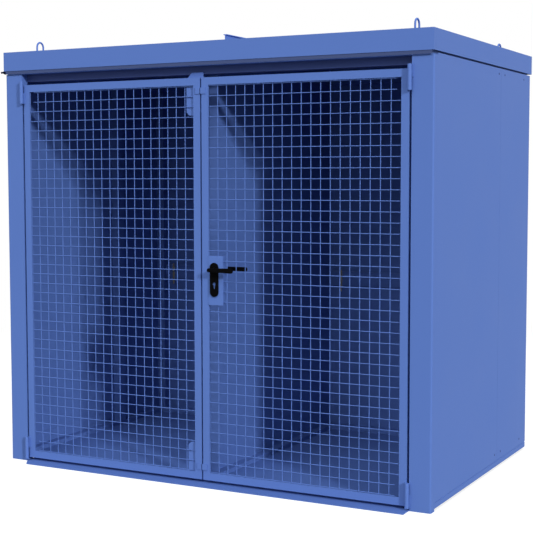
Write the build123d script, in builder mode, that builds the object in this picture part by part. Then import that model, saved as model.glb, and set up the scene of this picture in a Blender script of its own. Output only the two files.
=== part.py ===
"""Gas cylinder container: sheet steel body with two mesh leaves, a partition and a flat roof tray."""
import os

from build123d import *

os.makedirs("parts", exist_ok=True)

# Millimetres. +X is to the viewer's right, the doors face -Y, the ground is Z = 0.

# Body
body_width = 2396
body_depth = 1513
roof_height = 2176
sill_out = 72
gutter_out = 27
sheet = 2
ground_gap = 12

front_y = (sill_out - body_depth - gutter_out) / 2
back_y = front_y + body_depth
half_width = body_width / 2
wall_inside = half_width - sheet
back_inside = back_y - sheet

# Base frame, floor and sill
rail_height = 26
side_rail_width = 50
rear_rail_width = 80
centre_rail_width = 90
rail_wall = 3
foot_plate = 3
foot_height = 62
pad_inset = 20
groove = 6
floor_sheet = 4
sill_sheet = 5
sill_reach = 80
sill_cut = 48
partition_setback = 129

rail_top = ground_gap + rail_height
wall_bottom = rail_top + groove
side_rail_face = half_width - side_rail_width
rear_rail_face = back_inside - rear_rail_width
partition_front = front_y + partition_setback
sill_front = front_y - sill_out
sill_back = front_y + sill_reach

# Posts
front_post_width = 106
front_post_depth = 45
front_post_corner = 8
post_wall = 3
rear_post = 50

post_inner = half_width - front_post_width
post_back = front_y + front_post_depth

# Head: lintel tube, roof frame and roof tray
head_drop = 116
lintel_height = 38
lintel_depth = 60
beam_proud = 8
beam_inset = 15
beam_width = 60
panel_lap = 9
roof_overhang_front = 14
roof_overhang_side = 2
fascia_height = 98
bearer_width = 40

head_height = roof_height - head_drop
lintel_bottom = head_height - lintel_height
lintel_back = post_back + lintel_depth
frame_top = roof_height - sheet
frame_front = front_y - beam_proud
half_frame = wall_inside - beam_inset
panel_top = head_height + panel_lap
fascia_bottom = roof_height - fascia_height
roof_front = front_y - roof_overhang_front
half_roof = half_width + roof_overhang_side

# Roof rib, lifting eyes and gutter
rib_start = 259
rib_height = 58
rib_web = 4
rib_flange = 20
eye_rod = 9.5
eye_span = 52
eye_height = 63
eye_inset_x = 133
eye_inset_y = 141

# Side and back walls, retaining rails and chains
seam_depth = 985
seam_gap = 1
retainer_height = 82
retainer_depth = 25
retainer_level = 876
retainer_start = 60
chain_rod = 4
chain_pitch = 18
chain_width = 14
chain_links = 7

# Leaves
leaf_flange = 37
leaf_depth = 36
leaf_wall = 4
leaf_bottom = 21
leaf_head_gap = 20
meeting_gap = 9
jamb_gap = 12

leaf_outer = post_inner - jamb_gap
leaf_inner = meeting_gap / 2
leaf_width = leaf_outer - leaf_inner
leaf_middle = (leaf_outer + leaf_inner) / 2
leaf_top = lintel_bottom - leaf_head_gap
leaf_height = leaf_top - leaf_bottom
leaf_back = front_y + leaf_depth
mesh_front = front_y + leaf_wall

# Welded mesh
wire = 4
wire_bite = 1
wire_pitch = 50
mesh_parts = 3
mesh_shift = 2
wire_end = 12

upright_front = mesh_front + wire - wire_bite
mesh_back = upright_front + wire
upright_wires = int((leaf_width - 2 * leaf_flange) // wire_pitch) + 1
row_wires = int((leaf_height - 2 * leaf_flange) // wire_pitch) + 1
mesh_bottom = (leaf_bottom + leaf_top - (row_wires - 1) * wire_pitch) / 2

# Hinges
barrel_radius = 10
barrel_height = 116
barrel_clear = 3
barrel_split = 0.4
pin_radius = 5
pin_clear = 0.3
hinge_foot = 52
hinge_head = 39
hinge_tongue = 8
hinge_plate = 6

hinge_x = (leaf_outer + post_inner) / 2
hinge_y = front_y - barrel_radius - barrel_clear
low_hinge = leaf_bottom + hinge_foot
high_hinge = leaf_top - hinge_head

# Meeting edge: overlap tabs, stop plate and bolt boxes
tab_height = 30
tab_plate = 4
tab_reach = 24.5
tab_clear = 5
tab_inset = 64
stop_plate = 4
stop_width = 90
stop_inset = 1
stop_lap = 15
stop_rise = 28
stop_corner = 26
bolt_width = 78
bolt_height = 178
bolt_depth = 16
bolt_corner = 16

tab_levels = (leaf_bottom + tab_inset, leaf_top - tab_inset)

# Lock and lever
lock_width = 80
lock_height = 241
lock_level = 1016
lock_wall = 3
lock_plate = 3
scutcheon_width = 46
scutcheon_height = 166
scutcheon_rise = 4
scutcheon_sheet = 7
pivot_in = 34
pivot_rise = 53
neck_radius = 9
neck_clear = 1
lever_length = 125
lever_heel = 18
lever_height = 20
lever_sheet = 12
lever_reach = 28
inner_reach = 40
key_drop = 70
key_radius = 8.5
key_slot = 10
key_length = 33

lock_left = leaf_inner + leaf_flange
lock_right = lock_left + lock_width
case_left = leaf_inner + leaf_wall
pivot_x = lock_left + pivot_in
pivot_level = lock_level + pivot_rise
scutcheon_level = lock_level + scutcheon_rise
lock_low = lock_level - lock_height / 2
lock_high = lock_level + lock_height / 2


def keep(part, name):
    """Label a piece and write its STEP file."""
    part.label = name
    export_step(part, f"parts/{name}.step")


def block(x0, x1, y0, y1, z0, z1, mode=Mode.ADD):
    """A box between two corners, in the part that is being built."""
    with Locations(((x0 + x1) / 2, (y0 + y1) / 2, (z0 + z1) / 2)):
        Box(abs(x1 - x0), abs(y1 - y0), abs(z1 - z0), mode=mode)


# Base frame: folded channels on both sides, at the back and under the partition.
with BuildPart() as base_frame:
    for side in (-1, 1):
        block(side * side_rail_face, side * half_width, post_back, back_inside, ground_gap, rail_top)
    block(-half_width, half_width, rear_rail_face, back_inside, ground_gap, rail_top)
    block(-centre_rail_width / 2, centre_rail_width / 2, sill_back, back_inside, ground_gap, rail_top)
    underside = base_frame.faces().filter_by(Axis.Z).sort_by(Axis.Z)[0]
    offset(amount=-rail_wall, openings=underside)
keep(base_frame.part, "base_frame")

pad_outside = half_width - pad_inset
with BuildPart() as base_pads:
    for side in (-1, 1):
        block(side * side_rail_face, side * pad_outside, rear_rail_face, back_inside, 0, ground_gap)
keep(base_pads.part, "base_pads")

# Foot plates: flat bars on the base frame, behind the foot of the walls and between the posts.
seam_y = front_y + seam_depth
seam_front = seam_y - rear_post / 2
seam_back = seam_y + rear_post / 2
post_inside = wall_inside - rear_post
foot_top = rail_top + foot_height
foot_inside = wall_inside - foot_plate
foot_behind = back_inside - foot_plate
with BuildPart() as foot_plates:
    for side in (-1, 1):
        block(side * foot_inside, side * wall_inside, post_back, seam_front, rail_top, foot_top)
        block(side * foot_inside, side * wall_inside, seam_back, back_inside - rear_post, rail_top, foot_top)
        block(side * rear_post / 2, side * post_inside, foot_behind, back_inside, rail_top, foot_top)
keep(foot_plates.part, "foot_plates")

# Floor: one sheet in each compartment, against the foot of the rails.
with BuildPart() as floor_sheets:
    for side in (-1, 1):
        block(
            side * centre_rail_width / 2,
            side * side_rail_face,
            sill_back,
            rear_rail_face,
            ground_gap,
            ground_gap + floor_sheet,
        )
keep(floor_sheets.part, "floor_sheets")

# Sill: folded sheet from in front of the leaves to the floor, with its left front corner cut off.
sill_tip = sill_cut - post_inner
with BuildPart() as door_sill:
    with BuildSketch():
        with BuildLine():
            Polyline(
                (-post_inner, sill_back),
                (post_inner, sill_back),
                (post_inner, sill_front),
                (sill_tip, sill_front),
                (-post_inner, front_y),
                close=True,
            )
        make_face()
    extrude(amount=sill_sheet)
    block(-post_inner, post_inner, sill_back - sill_sheet, sill_back, 0, ground_gap + floor_sheet)
keep(door_sill.part, "door_sill")


def front_post(side):
    """Folded corner post with a rounded outer corner, open at the top under the roof frame."""
    with BuildPart() as post:
        with BuildSketch():
            with Locations((side * (half_width - front_post_width / 2), front_y + front_post_depth / 2)):
                Rectangle(front_post_width, front_post_depth)
        extrude(amount=head_height)
        front_edges = post.edges().filter_by(Axis.Z).group_by(Axis.Y)[0].sort_by(Axis.X)
        fillet(front_edges[-1 if side > 0 else 0], front_post_corner)
        offset(amount=-post_wall, openings=post.faces().sort_by(Axis.Z)[-1])
    return post.part


keep(front_post(-1), "front_post_left")
keep(front_post(1), "front_post_right")

with BuildPart() as rear_posts:
    for side in (-1, 1):
        with Locations((side * (wall_inside - rear_post / 2), back_inside - rear_post / 2, rail_top)):
            Box(rear_post, rear_post, head_height - rail_top, align=(Align.CENTER, Align.CENTER, Align.MIN))
            Box(
                rear_post - 2 * post_wall,
                rear_post - 2 * post_wall,
                head_height - rail_top,
                align=(Align.CENTER, Align.CENTER, Align.MIN),
                mode=Mode.SUBTRACT,
            )
keep(rear_posts.part, "rear_posts")

# Lintel: tube across the back of the front posts, from wall to wall.
with BuildPart() as lintel:
    block(-wall_inside, wall_inside, post_back, lintel_back, lintel_bottom, head_height)
    ends = lintel.faces().filter_by(Axis.X)
    offset(amount=-post_wall, openings=ends)
keep(lintel.part, "lintel")

# Roof frame: deep folded beams all round and one bearer over the partition.
with BuildPart() as roof_frame:
    block(-half_frame, half_frame, frame_front, back_inside, head_height, frame_top)
    for side in (-1, 1):
        block(
            side * bearer_width / 2,
            side * (half_frame - beam_width),
            frame_front + beam_width,
            back_inside - beam_width,
            head_height,
            frame_top,
            mode=Mode.SUBTRACT,
        )
    offset(amount=-rail_wall, openings=roof_frame.faces().sort_by(Axis.Z)[-1])
keep(roof_frame.part, "roof_frame")

# Roof tray: one sheet folded down on all four sides.
with BuildPart() as roof_tray:
    block(-half_roof, half_roof, roof_front, back_y, fascia_bottom, roof_height)
    offset(amount=-sheet, openings=roof_tray.faces().sort_by(Axis.Z)[0])
keep(roof_tray.part, "roof_tray")

# Standing rib on the centre line, with a narrow top flange.
rib_front = roof_front + rib_start
with BuildPart() as roof_rib:
    block(-rib_web / 2, rib_web / 2, rib_front, back_y, roof_height, roof_height + rib_height)
    block(
        -rib_flange / 2,
        rib_flange / 2,
        rib_front,
        back_y,
        roof_height + rib_height - rib_web,
        roof_height + rib_height,
    )
keep(roof_rib.part, "roof_rib")

# Lifting eyes: bent rods welded on the roof over the frame's corners.
eye_bend = eye_span / 2
eye_shoulder = roof_height + eye_height - eye_bend - eye_rod / 2
eye_crown = eye_shoulder + eye_bend
eye_x = half_roof - eye_inset_x
eye_front = roof_front + eye_inset_y
eye_back = back_y - eye_inset_y
with BuildPart() as lifting_eyes:
    for x in (-eye_x, eye_x):
        for y in (eye_front, eye_back):
            near = y - eye_bend
            far = y + eye_bend
            with BuildLine() as bend:
                Line((x, near, roof_height), (x, near, eye_shoulder))
                ThreePointArc((x, near, eye_shoulder), (x, y, eye_crown), (x, far, eye_shoulder))
                Line((x, far, eye_shoulder), (x, far, roof_height))
            with BuildSketch(Plane((x, near, roof_height))):
                Circle(eye_rod / 2)
            sweep(path=bend.line)
keep(lifting_eyes.part, "lifting_eyes")

# Rear gutter: folded channel behind the roof, as deep as the fascia.
with BuildPart() as rear_gutter:
    block(-half_roof, half_roof, back_y, back_y + gutter_out, fascia_bottom, roof_height)
    offset(amount=-sheet, openings=rear_gutter.faces().sort_by(Axis.Z)[-1])
keep(rear_gutter.part, "rear_gutter")

# Side walls: two sheets a side, lapped on the posts, with a seam between them.
retainer_inner = rear_post / 2


def side_panel(side, y0, y1):
    """One flat wall sheet."""
    with BuildPart() as panel:
        block(side * wall_inside, side * half_width, y0, y1, wall_bottom, panel_top)
    return panel.part


for side, hand in ((-1, "left"), (1, "right")):
    keep(side_panel(side, post_back, seam_y), f"side_panel_front_{hand}")
    keep(side_panel(side, seam_y + seam_gap, back_y), f"side_panel_rear_{hand}")

with BuildPart() as seam_posts:
    for side in (-1, 1):
        block(side * post_inside, side * wall_inside, seam_front, seam_back, rail_top, head_height)
    offset(amount=-post_wall, openings=seam_posts.faces().filter_by(Axis.Z))
keep(seam_posts.part, "seam_posts")


def back_panel(side):
    """One flat back sheet, from the centre line to the side wall."""
    with BuildPart() as panel:
        block(side * seam_gap / 2, side * wall_inside, back_inside, back_y, wall_bottom, panel_top)
    return panel.part


keep(back_panel(-1), "back_panel_left")
keep(back_panel(1), "back_panel_right")

# Partition: full-depth sheet with a folded front edge, on the centre rail.
with BuildPart() as partition:
    block(-sheet / 2, sheet / 2, partition_front, back_inside, rail_top, head_height)
    block(-rear_post / 2, rear_post / 2, partition_front, partition_front + sheet, rail_top, head_height)
    block(-rear_post / 2, rear_post / 2, back_inside - sheet, back_inside, rail_top, head_height)
keep(partition.part, "partition")

# Retaining rails: folded sheet across the back of each compartment.
with BuildPart() as retaining_rails:
    for side in (-1, 1):
        block(
            side * retainer_inner,
            side * post_inside,
            back_inside - retainer_depth,
            back_inside,
            retainer_level,
            retainer_level + retainer_height,
        )
    offset(amount=-sheet, openings=retaining_rails.faces().group_by(Axis.Y)[-1])
keep(retaining_rails.part, "retaining_rails")


def securing_chain(x):
    """Short chain of oval links, hung flat against the rail's face."""
    chain_y = back_inside - retainer_depth - chain_width / 2
    top = retainer_level + retainer_height
    with BuildPart() as chain:
        for link in range(chain_links):
            turn = 90 * ((link + 1) % 2)
            middle = Location((x, chain_y, top - chain_pitch * link), (90, turn, 0))
            with BuildSketch(Plane(middle)):
                SlotOverall(chain_pitch + 2 * chain_rod, chain_width, rotation=90)
                SlotOverall(chain_pitch, chain_width - 2 * chain_rod, rotation=90, mode=Mode.SUBTRACT)
            extrude(amount=chain_rod / 2, both=True)
    return chain.part


keep(securing_chain(-post_inside + retainer_start), "chain_left")
keep(securing_chain(retainer_inner + retainer_start), "chain_right")


def leaf_frame(side):
    """Welded angle frame of one leaf: its flange in front, its leg round the outside."""
    middle_z = leaf_bottom + leaf_height / 2
    inner_width = leaf_width - 2 * leaf_flange
    inner_height = leaf_height - 2 * leaf_flange
    leg_width = leaf_width - 2 * leaf_wall
    leg_height = leaf_height - 2 * leaf_wall
    with BuildPart() as frame:
        with BuildSketch(Plane((side * leaf_middle, front_y, middle_z), x_dir=(1, 0, 0), z_dir=(0, 1, 0))):
            Rectangle(leaf_width, leaf_height)
            Rectangle(inner_width, inner_height, mode=Mode.SUBTRACT)
        extrude(amount=leaf_wall)
        with BuildSketch(Plane((side * leaf_middle, front_y, middle_z), x_dir=(1, 0, 0), z_dir=(0, 1, 0))):
            Rectangle(leaf_width, leaf_height)
            Rectangle(leg_width, leg_height, mode=Mode.SUBTRACT)
        extrude(amount=leaf_depth)
    return frame.part


def mesh_panel(side, part):
    """A third of one leaf's welded mesh: uprights behind rows, fused where they cross."""
    first_row = part * row_wires // mesh_parts
    rows = (part + 1) * row_wires // mesh_parts - first_row
    rows_low = mesh_bottom + first_row * wire_pitch
    rows_high = rows_low + (rows - 1) * wire_pitch
    low_end = rows_low - (wire_end if part == 0 else wire_pitch / 2)
    high_end = rows_high + (wire_end if part == mesh_parts - 1 else wire_pitch / 2)
    middle_x = side * leaf_middle - mesh_shift
    row_width = (upright_wires - 1) * wire_pitch + 2 * wire_end
    row_centre = (middle_x, mesh_front, (rows_low + rows_high) / 2)
    upright_centre = (middle_x, upright_front, (low_end + high_end) / 2)
    with BuildPart() as mesh:
        with BuildSketch(Plane(row_centre, x_dir=(1, 0, 0), z_dir=(0, 1, 0))):
            with GridLocations(wire_pitch, wire_pitch, 1, rows):
                Rectangle(row_width, wire)
        extrude(amount=wire)
        with BuildSketch(Plane(upright_centre, x_dir=(1, 0, 0), z_dir=(0, 1, 0))):
            with GridLocations(wire_pitch, wire_pitch, upright_wires, 1):
                Rectangle(wire, high_end - low_end)
        extrude(amount=wire)
        if side > 0:
            block(case_left, lock_right, front_y, leaf_back, lock_low, lock_high, mode=Mode.SUBTRACT)
    return mesh.part


def hinge_halves(side, moving):
    """Barrel halves of one leaf: its own are the inner ones, the post's are at the leaf's ends."""
    half = barrel_height / 2 - barrel_split / 2
    with BuildPart() as halves:
        for level, inward in ((low_hinge, 1), (high_hinge, -1)):
            away = inward if moving else -inward
            middle = level + away * (barrel_split / 2 + half / 2)
            tongue_end = leaf_outer - hinge_tongue if moving else post_inner + hinge_tongue
            with Locations((side * hinge_x, hinge_y, middle)):
                Cylinder(barrel_radius, half)
            block(
                side * tongue_end,
                side * hinge_x,
                front_y - hinge_plate,
                front_y,
                middle - half / 2,
                middle + half / 2,
            )
            with Locations((side * hinge_x, hinge_y, level)):
                if moving:
                    Cylinder(pin_radius + pin_clear, 4 * half, mode=Mode.SUBTRACT)
                else:
                    Cylinder(pin_radius, 2 * half)
    return halves.part


mesh_names = ("lower", "middle", "upper")
for side, hand in ((-1, "left"), (1, "right")):
    keep(leaf_frame(side), f"{hand}_leaf_frame")
    for part, place in enumerate(mesh_names):
        keep(mesh_panel(side, part), f"{hand}_mesh_{place}")
    keep(hinge_halves(side, True), f"{hand}_leaf_hinges")
    keep(hinge_halves(side, False), f"{hand}_post_hinges")

# Overlap tabs: flat plates over the meeting gap, one of each pair on either leaf.
tab_front = front_y - tab_plate
tab_end = leaf_inner + tab_reach
with BuildPart() as left_tabs:
    for level in tab_levels:
        low = level - tab_height / 2
        block(-tab_end, -leaf_inner, tab_front, front_y, low, low + tab_height)
keep(left_tabs.part, "left_leaf_tabs")

with BuildPart() as right_tabs:
    for level in tab_levels:
        low = level - tab_height / 2
        block(tab_clear - leaf_inner, tab_end, tab_front, front_y, low, low + tab_height)
keep(right_tabs.part, "right_leaf_tabs")

# Stop plate: welded behind the passive leaf's top corner, rising in front of the lintel.
stop_right = -leaf_inner - stop_inset
stop_left = stop_right - stop_width
with BuildPart() as stop:
    block(stop_left, stop_right, leaf_back, leaf_back + stop_plate, leaf_top - stop_lap, leaf_top + stop_rise)
    chamfer(stop.edges().filter_by(Axis.Y).group_by(Axis.X)[0].sort_by(Axis.Z)[-1], stop_corner)
keep(stop.part, "left_stop_plate")

# Bolt boxes of the passive leaf: behind the mesh in its meeting corners, with their free corners cut.
bolt_right = -leaf_inner - leaf_wall
bolt_left = bolt_right - bolt_width
bolt_back = mesh_back + bolt_depth
with BuildPart() as bolt_boxes:
    for low in (leaf_bottom + leaf_wall, leaf_top - leaf_wall - bolt_height):
        block(bolt_left, bolt_right, mesh_back, bolt_back, low, low + bolt_height)
    free_corners = bolt_boxes.edges().filter_by(Axis.Y).group_by(Axis.X)[0].sort_by(Axis.Z)
    chamfer((free_corners[1], free_corners[2]), bolt_corner)
keep(bolt_boxes.part, "left_bolt_boxes")

# Lock case: box behind the active leaf's meeting stile, its face plate beside the flange.
case_front = front_y + leaf_wall
with BuildPart() as lock_case:
    block(case_left, lock_right, case_front, leaf_back, lock_low, lock_high)
    block(lock_left, lock_right, front_y - lock_plate, case_front, lock_low, lock_high)
    block(
        case_left + lock_wall,
        lock_right - lock_wall,
        case_front + lock_wall,
        leaf_back - lock_wall,
        lock_low + lock_wall,
        lock_high - lock_wall,
        mode=Mode.SUBTRACT,
    )
    with Locations(Location((pivot_x, front_y, pivot_level), (90, 0, 0))):
        Cylinder(neck_radius + neck_clear, 4 * leaf_depth, mode=Mode.SUBTRACT)
keep(lock_case.part, "lock_case")

# Escutcheons: long plates with rounded ends on both faces of the lock case.
outer_plate = front_y - lock_plate - scutcheon_sheet
inner_plate = leaf_back + scutcheon_sheet


def escutcheon(low_y):
    """One plate with the lever's hole and a profile keyhole."""
    with BuildPart() as plate:
        with BuildSketch(Plane((pivot_x, low_y, pivot_level), x_dir=(1, 0, 0), z_dir=(0, 1, 0))):
            with Locations((0, pivot_level - scutcheon_level)):
                SlotOverall(scutcheon_height, scutcheon_width, rotation=90)
            Circle(neck_radius + neck_clear, mode=Mode.SUBTRACT)
            with Locations((0, key_drop)):
                Circle(key_radius, mode=Mode.SUBTRACT)
            with Locations((0, key_drop - key_radius + key_length / 2)):
                SlotOverall(key_length, key_slot, rotation=90, mode=Mode.SUBTRACT)
        extrude(amount=scutcheon_sheet)
    return plate.part


keep(escutcheon(outer_plate), "outer_escutcheon")
keep(escutcheon(leaf_back), "inner_escutcheon")

# Levers: outer and inner handle with round necks on one spindle.
lever_face = outer_plate - lever_reach
inner_face = inner_plate + inner_reach
with BuildPart() as spindle:
    with Locations(Location((pivot_x, (lever_face + inner_face) / 2, pivot_level), (90, 0, 0))):
        Cylinder(neck_radius, inner_face - lever_face)
keep(spindle.part, "lever_spindle")


def lever(low_y):
    """One flat lever with rounded ends, pointing away from the meeting edge."""
    with BuildPart() as handle:
        with BuildSketch(Plane((pivot_x, low_y, pivot_level), x_dir=(1, 0, 0), z_dir=(0, 1, 0))):
            with Locations(((lever_length - lever_heel) / 2, 0)):
                SlotOverall(lever_length + lever_heel, lever_height)
        extrude(amount=lever_sheet)
    return handle.part


keep(lever(lever_face - lever_sheet), "outer_lever")
keep(lever(inner_face), "inner_lever")
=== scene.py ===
"""Looks for a gas cylinder container: blue sheet steel body, two mesh leaves, black lever set."""
import math

import bmesh
import bpy
from mathutils import Matrix, Vector


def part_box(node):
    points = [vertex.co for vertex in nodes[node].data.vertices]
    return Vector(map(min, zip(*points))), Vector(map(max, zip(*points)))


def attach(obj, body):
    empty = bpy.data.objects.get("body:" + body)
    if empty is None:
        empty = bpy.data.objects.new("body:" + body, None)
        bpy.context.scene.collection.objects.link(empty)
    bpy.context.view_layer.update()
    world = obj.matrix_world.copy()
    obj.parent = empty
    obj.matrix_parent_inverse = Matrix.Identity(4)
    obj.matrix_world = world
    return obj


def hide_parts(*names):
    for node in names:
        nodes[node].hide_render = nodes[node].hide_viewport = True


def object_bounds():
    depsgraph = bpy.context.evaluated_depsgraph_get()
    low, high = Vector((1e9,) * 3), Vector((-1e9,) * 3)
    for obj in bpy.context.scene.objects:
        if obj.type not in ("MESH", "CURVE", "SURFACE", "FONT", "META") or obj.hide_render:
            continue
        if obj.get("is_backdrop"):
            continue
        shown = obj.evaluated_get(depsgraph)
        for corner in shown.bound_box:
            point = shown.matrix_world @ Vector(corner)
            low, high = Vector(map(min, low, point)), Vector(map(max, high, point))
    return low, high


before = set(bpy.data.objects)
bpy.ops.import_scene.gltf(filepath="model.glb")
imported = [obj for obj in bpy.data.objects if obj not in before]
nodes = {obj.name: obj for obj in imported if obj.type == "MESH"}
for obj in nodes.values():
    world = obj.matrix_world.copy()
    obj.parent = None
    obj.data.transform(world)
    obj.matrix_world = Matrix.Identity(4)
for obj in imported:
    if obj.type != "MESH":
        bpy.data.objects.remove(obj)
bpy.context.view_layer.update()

# Camera
# Stands to the right of the front at about eye height, looking slightly down at the whole
# container, through a long lens.
camera_place = Vector((3.0873, -5.9204, 1.5267))
camera_yaw = math.radians(27.73)
camera_pitch = math.radians(-4.22)
camera_roll = math.radians(-0.08)
camera_lens = 83.2
film_width = 36

camera_data = bpy.data.cameras.new("camera")
camera_data.sensor_width = film_width
camera_data.lens = camera_lens
camera = bpy.data.objects.new("camera", camera_data)
bpy.context.scene.collection.objects.link(camera)
camera_aim = (
    Matrix.Rotation(camera_yaw, 4, "Z")
    @ Matrix.Rotation(math.pi / 2 + camera_pitch, 4, "X")
    @ Matrix.Rotation(camera_roll, 4, "Z")
)
camera.matrix_world = Matrix.Translation(camera_place) @ camera_aim
bpy.context.scene.camera = camera
bpy.context.scene.view_settings.view_transform = "Standard"

# Light
# A key from the right front, a broad soft light from high in front, and a weak even sky. Cameras
# and shiny surfaces see the sky as plain white.
sky_strength = 0.8
sky_tint = (0.93, 0.96, 1, 1)
key_strength = 2.4
front_strength = 1.2


def backdrop_rays(tree):
    """A socket that is 1 for the rays that should meet a plain white surrounding."""
    path = tree.nodes.new("ShaderNodeLightPath")
    seen = path.outputs["Is Camera Ray"]
    for kind in ("Is Glossy Ray", "Is Transmission Ray"):
        either = tree.nodes.new("ShaderNodeMath")
        either.operation = "MAXIMUM"
        tree.links.new(seen, either.inputs[0])
        tree.links.new(path.outputs[kind], either.inputs[1])
        seen = either.outputs[0]
    return seen


sky = bpy.data.worlds.new("sky")
bpy.context.scene.world = sky
sky.use_nodes = True
sky_tree = sky.node_tree
sky_tree.nodes.clear()
dim_sky = sky_tree.nodes.new("ShaderNodeBackground")
dim_sky.inputs["Color"].default_value = sky_tint
dim_sky.inputs["Strength"].default_value = sky_strength
white_sky = sky_tree.nodes.new("ShaderNodeBackground")
white_sky.inputs["Color"].default_value = (1, 1, 1, 1)
white_sky.inputs["Strength"].default_value = 1
either_sky = sky_tree.nodes.new("ShaderNodeMixShader")
sky_out = sky_tree.nodes.new("ShaderNodeOutputWorld")
sky_tree.links.new(backdrop_rays(sky_tree), either_sky.inputs["Fac"])
sky_tree.links.new(dim_sky.outputs[0], either_sky.inputs[1])
sky_tree.links.new(white_sky.outputs[0], either_sky.inputs[2])
sky_tree.links.new(either_sky.outputs[0], sky_out.inputs["Surface"])


def aim_light(name, azimuth, elevation, strength, softness):
    """A distant lamp from an azimuth, counted from +X towards the front, and an elevation."""
    lamp_data = bpy.data.lights.new(name, "SUN")
    lamp_data.energy = strength
    lamp_data.angle = math.radians(softness)
    lamp = bpy.data.objects.new(name, lamp_data)
    bpy.context.scene.collection.objects.link(lamp)
    flat = math.cos(math.radians(elevation))
    east = flat * math.cos(math.radians(azimuth))
    south = -flat * math.sin(math.radians(azimuth))
    towards = Vector((east, south, math.sin(math.radians(elevation))))
    lamp.rotation_euler = towards.to_track_quat("Z", "Y").to_euler()


aim_light("key_light", azimuth=30, elevation=21, strength=key_strength, softness=6)
aim_light("front_light", azimuth=95, elevation=43, strength=front_strength, softness=40)

# Floor
# Plain pale ground that keeps the container's shadow and fades into the white sky away from it.
# It throws little light back up into the container.
ground_reach = 60
ground_near = 3.2
ground_far = 6.0
ground_pale = (0.5, 0.5, 0.5, 1)
ground_dim = (0.15, 0.15, 0.15, 1)
ground_glow = 0.62

ground_shape = bmesh.new()
bmesh.ops.create_grid(ground_shape, x_segments=1, y_segments=1, size=ground_reach)
ground_mesh = bpy.data.meshes.new("ground")
ground_shape.to_mesh(ground_mesh)
ground_shape.free()
ground = bpy.data.objects.new("ground", ground_mesh)
bpy.context.scene.collection.objects.link(ground)
ground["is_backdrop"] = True

ground_paint = bpy.data.materials.new("pale_ground")
ground_paint.use_nodes = True
ground_tree = ground_paint.node_tree
ground_tree.nodes.clear()
ground_place = ground_tree.nodes.new("ShaderNodeTexCoord")
ground_length = ground_tree.nodes.new("ShaderNodeVectorMath")
ground_length.operation = "LENGTH"
ground_fade = ground_tree.nodes.new("ShaderNodeMapRange")
ground_fade.interpolation_type = "SMOOTHSTEP"
ground_fade.inputs["From Min"].default_value = ground_near
ground_fade.inputs["From Max"].default_value = ground_far
seen_ground = ground_tree.nodes.new("ShaderNodeBsdfDiffuse")
seen_ground.inputs["Color"].default_value = ground_pale
unseen_ground = ground_tree.nodes.new("ShaderNodeBsdfDiffuse")
unseen_ground.inputs["Color"].default_value = ground_dim
glow = ground_tree.nodes.new("ShaderNodeEmission")
glow.inputs["Strength"].default_value = ground_glow
far_white = ground_tree.nodes.new("ShaderNodeEmission")
far_white.inputs["Strength"].default_value = 1
lit_ground = ground_tree.nodes.new("ShaderNodeAddShader")
near_ground = ground_tree.nodes.new("ShaderNodeMixShader")
far_share = ground_tree.nodes.new("ShaderNodeMath")
far_share.operation = "MULTIPLY"
whole_ground = ground_tree.nodes.new("ShaderNodeMixShader")
ground_out = ground_tree.nodes.new("ShaderNodeOutputMaterial")
ground_seen = backdrop_rays(ground_tree)
ground_tree.links.new(ground_place.outputs["Object"], ground_length.inputs[0])
ground_tree.links.new(ground_length.outputs["Value"], ground_fade.inputs["Value"])
ground_tree.links.new(seen_ground.outputs[0], lit_ground.inputs[0])
ground_tree.links.new(glow.outputs[0], lit_ground.inputs[1])
ground_tree.links.new(ground_seen, near_ground.inputs["Fac"])
ground_tree.links.new(unseen_ground.outputs[0], near_ground.inputs[1])
ground_tree.links.new(lit_ground.outputs[0], near_ground.inputs[2])
ground_tree.links.new(ground_fade.outputs[0], far_share.inputs[0])
ground_tree.links.new(ground_seen, far_share.inputs[1])
ground_tree.links.new(far_share.outputs[0], whole_ground.inputs["Fac"])
ground_tree.links.new(near_ground.outputs[0], whole_ground.inputs[1])
ground_tree.links.new(far_white.outputs[0], whole_ground.inputs[2])
ground_tree.links.new(whole_ground.outputs[0], ground_out.inputs["Surface"])
ground_mesh.materials.append(ground_paint)

# Sheet steel body
# Folded 2 to 5 mm steel sheets and welded tubes, all sprayed with one coat of blue enamel. The
# coat is satin, with a fine orange peel, a slow change of tone and sheets that aren't quite flat.
enamel_blue = (0.088, 0.163, 0.446, 1)
enamel_deep = (0.081, 0.153, 0.424, 1)
enamel_shine = 0.12
tone_patches = 2.3
patch_low = 0.3
patch_high = 0.7
duller_by = 0.05
glossier_by = 0.04
sheet_waves = 1.6
sheet_wave_depth = 0.004
sheet_wave_share = 0.25
peel_share = 0.5


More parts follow.
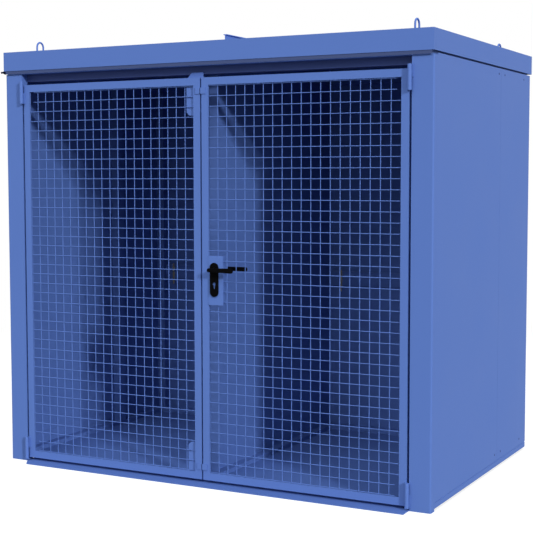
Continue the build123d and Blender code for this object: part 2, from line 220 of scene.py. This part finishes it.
def coat_steel(name, light, deep, roughness, peel_size, peel_depth):
    """Sprayed enamel on steel: mottled tone, a little uneven gloss and orange peel."""
    coat = bpy.data.materials.new(name)
    coat.use_nodes = True
    tree = coat.node_tree
    shader = tree.nodes["Principled BSDF"]
    shader.inputs["Specular IOR Level"].default_value = enamel_shine
    place = tree.nodes.new("ShaderNodeTexCoord")
    patches = tree.nodes.new("ShaderNodeTexNoise")
    patches.inputs["Scale"].default_value = tone_patches
    patches.inputs["Detail"].default_value = 4
    tone = tree.nodes.new("ShaderNodeMix")
    tone.data_type = "RGBA"
    tone.inputs["A"].default_value = deep
    tone.inputs["B"].default_value = light
    gloss = tree.nodes.new("ShaderNodeMapRange")
    gloss.inputs["From Min"].default_value = patch_low
    gloss.inputs["From Max"].default_value = patch_high
    gloss.inputs["To Min"].default_value = roughness - glossier_by
    gloss.inputs["To Max"].default_value = roughness + duller_by
    peel = tree.nodes.new("ShaderNodeTexNoise")
    peel.inputs["Scale"].default_value = peel_size
    peel.inputs["Detail"].default_value = 2
    waves = tree.nodes.new("ShaderNodeTexNoise")
    waves.inputs["Scale"].default_value = sheet_waves
    waves.inputs["Detail"].default_value = 1
    sheet_bump = tree.nodes.new("ShaderNodeBump")
    sheet_bump.inputs["Distance"].default_value = sheet_wave_depth
    sheet_bump.inputs["Strength"].default_value = sheet_wave_share
    peel_bump = tree.nodes.new("ShaderNodeBump")
    peel_bump.inputs["Distance"].default_value = peel_depth
    peel_bump.inputs["Strength"].default_value = peel_share
    tree.links.new(place.outputs["Object"], patches.inputs["Vector"])
    tree.links.new(place.outputs["Object"], peel.inputs["Vector"])
    tree.links.new(place.outputs["Object"], waves.inputs["Vector"])
    tree.links.new(patches.outputs["Fac"], tone.inputs["Factor"])
    tree.links.new(tone.outputs["Result"], shader.inputs["Base Color"])
    tree.links.new(patches.outputs["Fac"], gloss.inputs["Value"])
    tree.links.new(gloss.outputs["Result"], shader.inputs["Roughness"])
    tree.links.new(waves.outputs["Fac"], sheet_bump.inputs["Height"])
    tree.links.new(peel.outputs["Fac"], peel_bump.inputs["Height"])
    tree.links.new(sheet_bump.outputs["Normal"], peel_bump.inputs["Normal"])
    tree.links.new(peel_bump.outputs["Normal"], shader.inputs["Normal"])
    return coat


def dress(coat, *names):
    """Gives carried-over steel parts their coat."""
    for name in names:
        materials = nodes[name].data.materials
        materials.clear()
        materials.append(coat)


body_enamel = coat_steel(
    "body_enamel", enamel_blue, enamel_deep, roughness=0.62, peel_size=420, peel_depth=0.0002
)
dress(body_enamel, "base_frame", "base_pads", "foot_plates", "floor_sheets", "door_sill")
dress(body_enamel, "front_post_left", "front_post_right", "rear_posts", "seam_posts")
dress(body_enamel, "roof_frame", "roof_tray", "roof_rib", "lifting_eyes", "rear_gutter")
for hand in ("left", "right"):
    dress(body_enamel, f"side_panel_front_{hand}", f"side_panel_rear_{hand}", f"back_panel_{hand}")
dress(body_enamel, "partition", "retaining_rails")

# Lintel
# A tube across the back of the front posts, over the leaves, from wall to wall. Its coat is a
# darker, greyer blue than the body's, which is painted shade from the roof's overhang above it.
lintel_shaded_tone = (0.062, 0.094, 0.245, 1)
lintel_shaded_deep = (0.055, 0.083, 0.220, 1)

lintel_shaded_coat = coat_steel(
    "lintel_shaded_coat", lintel_shaded_tone, lintel_shaded_deep, roughness=0.68, peel_size=420, peel_depth=0.0002
)
dress(lintel_shaded_coat, "lintel")

# Rain lip
# A strip under the front edge of the roof tray, its face leaning inwards at the foot, coloured a
# darker, greyer blue than the body as painted shade under the fascia.
# It is fixed along the roof frame's front beam and keeps rain off the leaves.
lip_half_run = 1.190
lip_head = 0.0005
lip_foot = 0.0165
lip_lean = 0.003
lip_rim = 0.001
tray_sheet = 0.002
lip_shaded_tone = (0.062, 0.088, 0.205, 1)
lip_shaded_deep = (0.052, 0.076, 0.185, 1)


def finish_piece(name, shape, coat, body, slot, *stands_for):
    """Turns a mesh under work into a piece that rides on a body and may stand for CAD nodes."""
    bmesh.ops.recalc_face_normals(shape, faces=shape.faces)
    mesh = bpy.data.meshes.new(name)
    shape.to_mesh(mesh)
    shape.free()
    mesh.materials.append(coat)
    piece = bpy.data.objects.new(name, mesh)
    bpy.context.scene.collection.objects.link(piece)
    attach(piece, body)
    if stands_for:
        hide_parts(*stands_for)
    return piece


tray_low, tray_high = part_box("roof_tray")
frame_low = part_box("roof_frame")[0]
fascia_foot = tray_low.z
lip_back = frame_low.y
lip_front = tray_low.y + tray_sheet
lip_section = (
    (lip_front, fascia_foot + lip_head),
    (lip_back, fascia_foot + lip_head),
    (lip_back, fascia_foot - lip_foot),
    (lip_front + lip_lean, fascia_foot - lip_foot),
)
lip_shape = bmesh.new()
lip_end = lip_shape.faces.new([lip_shape.verts.new((-lip_half_run, y, z)) for y, z in lip_section])
lip_run = bmesh.ops.extrude_face_region(lip_shape, geom=[lip_end])["geom"]
far_end = [item for item in lip_run if isinstance(item, bmesh.types.BMVert)]
bmesh.ops.translate(lip_shape, vec=(2 * lip_half_run, 0, 0), verts=far_end)
long_edges = [
    edge for edge in lip_shape.edges if abs(edge.verts[0].co.x - edge.verts[1].co.x) > lip_half_run
]
bmesh.ops.bevel(
    lip_shape,
    geom=long_edges,
    offset=lip_rim,
    affect="EDGES",
    segments=2,
    profile=0.5,
    material=-1,
)
lip_shaded_coat = coat_steel(
    "lip_strip", lip_shaded_tone, lip_shaded_deep, roughness=0.7, peel_size=260, peel_depth=0.0003
)
finish_piece("rain_lip", lip_shape, lip_shaded_coat, "root", "blue_steel")

# Roof stud
# A threaded stud at the front left corner of the roof frame, which comes out between the fascia
# and the side wall, with a washer and a hex nut part way along it. Its near-black navy colour is
# painted shade, as it sits in the shadow under the fascia.
stud_radius = 0.005
stud_sides = 16
stud_out = 1.233
stud_setback = 0.006
nut_off = 0.006
nut_radius = 0.0085
nut_sides = 6
nut_thick = 0.007
washer_radius = 0.011
washer_sides = 24
washer_thick = 0.002
stud_shaded_tone = (0.008, 0.013, 0.046, 1)
stud_shaded_deep = (0.006, 0.010, 0.036, 1)


def lay_rod(shape, start, end, radius, sides):
    """One straight rod between two points, closed at both ends."""
    run = Vector(end) - Vector(start)
    turn = run.to_track_quat("Z", "Y").to_matrix().to_4x4()
    bmesh.ops.create_cone(
        shape,
        cap_ends=True,
        segments=sides,
        radius1=radius,
        radius2=radius,
        depth=run.length,
        matrix=Matrix.Translation((Vector(start) + Vector(end)) / 2) @ turn,
    )


wall_face, _, wall_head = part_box("side_panel_front_right")[1]
post_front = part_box("front_post_right")[0].y
stud_y = post_front + stud_setback
stud_z = (fascia_foot + wall_head) / 2
washer_x = tray_low.x - nut_off
nut_x = washer_x - washer_thick
nut_end = nut_x - nut_thick
stud_shape = bmesh.new()
for start_x, end_x, radius, sides in (
    (frame_low.x, -stud_out, stud_radius, stud_sides),
    (washer_x, nut_x, washer_radius, washer_sides),
    (nut_x, nut_end, nut_radius, nut_sides),
):
    lay_rod(stud_shape, (start_x, stud_y, stud_z), (end_x, stud_y, stud_z), radius, sides)
stud_shaded_paint = coat_steel(
    "stud_shaded_paint", stud_shaded_tone, stud_shaded_deep, roughness=0.5, peel_size=600, peel_depth=0.0001
)
finish_piece("roof_stud", stud_shape, stud_shaded_paint, "root", "blue_steel")

# Wall rivets
# Dome head rivets that hold each side wall to the head and foot rails, two beside the seam and one
# near the back, in a darker blue than the wall.
rivet_setbacks = (0.951, 1.0505, 1.396)
rivet_levels = (2.041, 0.0773)
rivet_head = 0.0055
rivet_rise = 0.0022
rivet_dark = (0.030, 0.052, 0.170, 1)
rivet_deep = (0.022, 0.040, 0.140, 1)


def set_rivet(shape, place):
    """One dome head: a flattened ball, half sunk in the wall."""
    ball = bmesh.ops.create_uvsphere(shape, u_segments=16, v_segments=8, radius=rivet_head)
    bmesh.ops.scale(shape, vec=(rivet_rise / rivet_head, 1, 1), verts=ball["verts"])
    bmesh.ops.translate(shape, vec=place, verts=ball["verts"])


rivet_paint = coat_steel(
    "rivet_paint", rivet_dark, rivet_deep, roughness=0.5, peel_size=600, peel_depth=0.0001
)
for hand, side in (("left", -1), ("right", 1)):
    rivet_shape = bmesh.new()
    for setback in rivet_setbacks:
        for level in rivet_levels:
            set_rivet(rivet_shape, Vector((side * wall_face, post_front + setback, level)))
    finish_piece(f"wall_rivets_{hand}", rivet_shape, rivet_paint, "root", "blue_steel")

# Weld beads on the roof
# Fillet beads round the feet of the lifting eyes and along both sides of the rib, laid before
# the body was sprayed.
bead = 0.0028
bead_sides = 8
bead_steps = 24
rib_bead = bead * 0.7
eye_span = 0.052
eye_rod = 0.0095
bead_reach = eye_rod / 2 + bead / 3


def ring_edges(shape, ring):
    """The edges of a ring of points, in the order of the mesh."""
    return [edge for edge in shape.edges if all(vert in ring for vert in edge.verts)]


def weld_ring(shape, place):
    """A round bead about an upright rod, half sunk in the sheet."""
    upright = Matrix.Rotation(math.pi / 2, 4, "X")
    start = Matrix.Translation(place + Vector((bead_reach, 0, 0))) @ upright
    ring = bmesh.ops.create_circle(shape, segments=bead_sides, radius=bead, matrix=start)["verts"]
    bmesh.ops.spin(
        shape,
        geom=ring + ring_edges(shape, ring),
        cent=place,
        axis=(0, 0, 1),
        angle=2 * math.pi,
        steps=bead_steps,
        use_merge=True,
    )


eyes_low, eyes_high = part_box("lifting_eyes")
eye_x = eyes_high.x - eye_rod / 2
front_leg = eyes_low.y + eye_rod / 2
rear_leg = eyes_high.y - eye_rod / 2 - eye_span
bead_shape = bmesh.new()
for x in (-eye_x, eye_x):
    for y in (front_leg, front_leg + eye_span, rear_leg, rear_leg + eye_span):
        weld_ring(bead_shape, Vector((x, y, tray_high.z)))
rib_low, rib_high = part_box("roof_rib")
for x in (rib_low.x, rib_high.x):
    rib_front = (x, rib_low.y, tray_high.z)
    rib_rear = (x, rib_high.y, tray_high.z)
    lay_rod(bead_shape, rib_front, rib_rear, rib_bead, bead_sides)
finish_piece("roof_weld_beads", bead_shape, body_enamel, "root", "blue_steel")

# Leaf frames and hinges
# Steel angle welded at the corners, with turned barrels, flat overlap tabs and bolt boxes, in
# the same enamel as the body.
leaf_enamel = coat_steel(
    "leaf_enamel", enamel_blue, enamel_deep, roughness=0.60, peel_size=420, peel_depth=0.0002
)
for hand in ("left", "right"):
    dress(leaf_enamel, f"{hand}_leaf_frame", f"{hand}_leaf_tabs")
    dress(leaf_enamel, f"{hand}_leaf_hinges", f"{hand}_post_hinges")
dress(leaf_enamel, "left_bolt_boxes", "left_stop_plate", "lock_case")

# Welded mesh
# Round 4 mm wire at 50 mm pitch, uprights behind rows, pressed 1 mm into each other where the
# machine welded them with a small nugget, and sprayed with the leaf. The two end rows at each
# corner on the hinge side are cut short of the stile, and the wires stop at the lock case.
wire_radius = 0.002
wire_sides = 10
wire_pitch = 0.05
wire_end = 0.012
corner_rows = 2
short_end = 0.024
stile_face = 0.037
nugget = 0.0027

wire_enamel = coat_steel(
    "wire_enamel", enamel_blue, enamel_deep, roughness=0.55, peel_size=700, peel_depth=0.0001
)


def lay_wire(shape, start, end):
    """One straight length of mesh wire."""
    lay_rod(shape, start, end, wire_radius, wire_sides)


def wire_places(low, high):
    """Where the wires lie along one side of a mesh, an end's length in from its edge."""
    count = round((high - low - 2 * wire_end) / wire_pitch) + 1
    return [low + wire_end + n * wire_pitch for n in range(count)]


lock_low, lock_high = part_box("lock_case")
for hand, side in (("left", -1), ("right", 1)):
    mesh_nodes = [f"{hand}_mesh_{place}" for place in ("lower", "middle", "upper")]
    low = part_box(mesh_nodes[0])[0]
    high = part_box(mesh_nodes[2])[1]
    leaf_low, leaf_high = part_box(f"{hand}_leaf_frame")
    row_y = low.y + wire_radius
    upright_y = high.y - wire_radius
    nugget_y = (row_y + upright_y) / 2
    upright_xs = wire_places(low.x, high.x)
    row_zs = wire_places(low.z, high.z)
    meeting_end = min(abs(low.x), abs(high.x))
    hinge_end = max(abs(low.x), abs(high.x))
    cut_short = max(abs(leaf_low.x), abs(leaf_high.x)) - stile_face - short_end
    mesh_shape = bmesh.new()
    for n, z in enumerate(row_zs):
        in_corner = n < corner_rows or n >= len(row_zs) - corner_rows
        at_lock = side > 0 and lock_low.z < z < lock_high.z
        start = lock_high.x if at_lock else meeting_end
        stop = cut_short if in_corner else hinge_end
        lay_wire(mesh_shape, (side * start, row_y, z), (side * stop, row_y, z))
        for x in upright_xs:
            if start < abs(x) < stop:
                bmesh.ops.create_icosphere(
                    mesh_shape,
                    subdivisions=1,
                    radius=nugget,
                    matrix=Matrix.Translation((x, nugget_y, z)),
                )
    for x in upright_xs:
        spans = [(low.z, high.z)]
        if side > 0 and lock_low.x < x < lock_high.x:
            spans = [(low.z, lock_low.z), (lock_high.z, high.z)]
        for foot, head in spans:
            lay_wire(mesh_shape, (x, upright_y, foot), (x, upright_y, head))
    mesh_name = f"{hand}_welded_mesh"
    finish_piece(mesh_name, mesh_shape, wire_enamel, f"{hand}_leaf", "blue_mesh", *mesh_nodes)

# Lever set
# Black moulded escutcheons with rounded rims on both faces of the lock case, and outside and
# inside a flat lever with rounded ends, both on one round spindle.
moulding_dark = (0.0016, 0.0016, 0.002, 1)
moulding_light = (0.0034, 0.0034, 0.004, 1)
moulding_shine = 0.01
moulding_glossy = 0.48
moulding_dull = 0.62
moulding_grain = 900
grain_depth = 0.0001
grain_share = 0.4
scutcheon_rim = 0.0018
handle_rim = 0.004
grip_tip = 0.015
outer_grip_thicker = 1.22
inner_grip_thicker = 1.1
inner_grip_longer = 0.007
same_place = 0.00001
one_plane = math.radians(1)
round_over = math.radians(50)
keep_sharp = math.radians(35)

black_coat = bpy.data.materials.new("black_moulding")
black_coat.use_nodes = True
black_tree = black_coat.node_tree
black_shader = black_tree.nodes["Principled BSDF"]
black_shader.inputs["Specular IOR Level"].default_value = moulding_shine
black_place = black_tree.nodes.new("ShaderNodeTexCoord")
black_grain = black_tree.nodes.new("ShaderNodeTexNoise")
black_grain.inputs["Scale"].default_value = moulding_grain
black_tone = black_tree.nodes.new("ShaderNodeMix")
black_tone.data_type = "RGBA"
black_tone.inputs["A"].default_value = moulding_dark
black_tone.inputs["B"].default_value = moulding_light
black_rough = black_tree.nodes.new("ShaderNodeMapRange")
black_rough.inputs["To Min"].default_value = moulding_glossy
black_rough.inputs["To Max"].default_value = moulding_dull
black_bump = black_tree.nodes.new("ShaderNodeBump")
black_bump.inputs["Distance"].default_value = grain_depth
black_bump.inputs["Strength"].default_value = grain_share
black_tree.links.new(black_place.outputs["Object"], black_grain.inputs["Vector"])
black_tree.links.new(black_grain.outputs["Fac"], black_tone.inputs["Factor"])
black_tree.links.new(black_grain.outputs["Fac"], black_rough.inputs["Value"])
black_tree.links.new(black_grain.outputs["Fac"], black_bump.inputs["Height"])
black_tree.links.new(black_tone.outputs["Result"], black_shader.inputs["Base Color"])
black_tree.links.new(black_rough.outputs["Result"], black_shader.inputs["Roughness"])
black_tree.links.new(black_bump.outputs["Normal"], black_shader.inputs["Normal"])
dress(black_coat, "lever_spindle")


def mould(name, node, body, rim, longer=0, thicker=1):
    """A moulded copy of a solid: flat faces joined, grip end drawn out, corners rounded."""
    shape = bmesh.new()
    shape.from_mesh(nodes[node].data)
    bmesh.ops.remove_doubles(shape, verts=shape.verts, dist=same_place)
    bmesh.ops.dissolve_limit(
        shape, angle_limit=one_plane, verts=shape.verts, edges=shape.edges
    )
    grip_end = [vert for vert in shape.verts if vert.co.x > lock_high.x - grip_tip]
    if grip_end:
        grip_middle = sum(vert.co.z for vert in grip_end) / len(grip_end)
        about = Matrix.Translation((0, 0, -grip_middle))
        bmesh.ops.scale(shape, vec=(1, 1, thicker), space=about, verts=grip_end)
        bmesh.ops.translate(shape, vec=(longer, 0, 0), verts=grip_end)
    bmesh.ops.bevel(
        shape,
        geom=[edge for edge in shape.edges if edge.calc_face_angle(0) > round_over],
        offset=rim,
        affect="EDGES",
        segments=3,
        profile=0.5,
        material=-1,
        clamp_overlap=True,
    )
    piece = finish_piece(name, shape, black_coat, body, "black_fittings", node)
    for face in piece.data.polygons:
        face.use_smooth = True
    piece.data.set_sharp_from_angle(angle=keep_sharp)


mould("outer_scutcheon", "outer_escutcheon", "right_leaf", scutcheon_rim)
mould("inner_scutcheon", "inner_escutcheon", "right_leaf", scutcheon_rim)
mould("outer_handle", "outer_lever", "lever", handle_rim, 0, outer_grip_thicker)
mould("inner_handle", "inner_lever", "lever", handle_rim, inner_grip_longer, inner_grip_thicker)

# Securing chains
# Short welded chains of 4 mm rod with a dull yellow zinc finish. Each hangs straight down the
# face of its retaining rail, near the rail's left end.
link_rod = 0.004
link_sides = 8
link_steps = 8
link_width = 0.014
link_pitch = 0.018
link_count = 7
zinc_dark = (0.21, 0.20, 0.12, 1)
zinc_light = (0.32, 0.305, 0.20, 1)
zinc_patches = 160
zinc_glossy = 0.34
zinc_dull = 0.52

zinc = bpy.data.materials.new("yellow_zinc")
zinc.use_nodes = True
zinc_tree = zinc.node_tree
zinc_shader = zinc_tree.nodes["Principled BSDF"]
zinc_shader.inputs["Metallic"].default_value = 1
zinc_place = zinc_tree.nodes.new("ShaderNodeTexCoord")
zinc_clouds = zinc_tree.nodes.new("ShaderNodeTexNoise")
zinc_clouds.inputs["Scale"].default_value = zinc_patches
zinc_tone = zinc_tree.nodes.new("ShaderNodeMix")
zinc_tone.data_type = "RGBA"
zinc_tone.inputs["A"].default_value = zinc_dark
zinc_tone.inputs["B"].default_value = zinc_light
zinc_rough = zinc_tree.nodes.new("ShaderNodeMapRange")
zinc_rough.inputs["To Min"].default_value = zinc_glossy
zinc_rough.inputs["To Max"].default_value = zinc_dull
zinc_tree.links.new(zinc_place.outputs["Object"], zinc_clouds.inputs["Vector"])
zinc_tree.links.new(zinc_clouds.outputs["Fac"], zinc_tone.inputs["Factor"])
zinc_tree.links.new(zinc_clouds.outputs["Fac"], zinc_rough.inputs["Value"])
zinc_tree.links.new(zinc_tone.outputs["Result"], zinc_shader.inputs["Base Color"])
zinc_tree.links.new(zinc_rough.outputs["Result"], zinc_shader.inputs["Roughness"])


def lay_link(shape, centre, turn):
    """One oval link: two straight legs and two half turns of rod, closed on itself."""
    laid = set(shape.verts)
    bend = (link_width - link_rod) / 2
    leg = (link_pitch + 2 * link_rod - link_width) / 2
    start = Matrix.Translation((bend, 0, -leg))
    section = bmesh.ops.create_circle(
        shape, segments=link_sides, radius=link_rod / 2, matrix=start
    )
    ring = section["verts"]
    for way in (1, -1):
        grown = bmesh.ops.extrude_edge_only(shape, edges=ring_edges(shape, ring))["geom"]
        ring = [item for item in grown if isinstance(item, bmesh.types.BMVert)]
        bmesh.ops.translate(shape, vec=(0, 0, way * 2 * leg), verts=ring)
        bent = bmesh.ops.spin(
            shape,
            geom=ring + ring_edges(shape, ring),
            cent=(0, 0, way * leg),
            axis=(0, -1, 0),
            angle=math.pi,
            steps=link_steps,
        )["geom_last"]
        ring = [item for item in bent if isinstance(item, bmesh.types.BMVert)]
    link = [vert for vert in shape.verts if vert not in laid]
    bmesh.ops.rotate(shape, cent=(0, 0, 0), matrix=Matrix.Rotation(turn, 3, "Z"), verts=link)
    bmesh.ops.translate(shape, vec=centre, verts=link)


for hand in ("left", "right"):
    chain_low, chain_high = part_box(f"chain_{hand}")
    middle = (chain_low + chain_high) / 2
    first_level = chain_high.z - link_pitch / 2 - link_rod
    chain_shape = bmesh.new()
    for n in range(link_count):
        turn = math.pi / 2 if n % 2 == 0 else 0
        lay_link(chain_shape, (middle.x, middle.y, first_level - n * link_pitch), turn)
    bmesh.ops.remove_doubles(chain_shape, verts=chain_shape.verts, dist=same_place)
    chain_name = f"securing_chain_{hand}"
    finish_piece(chain_name, chain_shape, zinc, "root", "zinc_chain", f"chain_{hand}")

low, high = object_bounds()
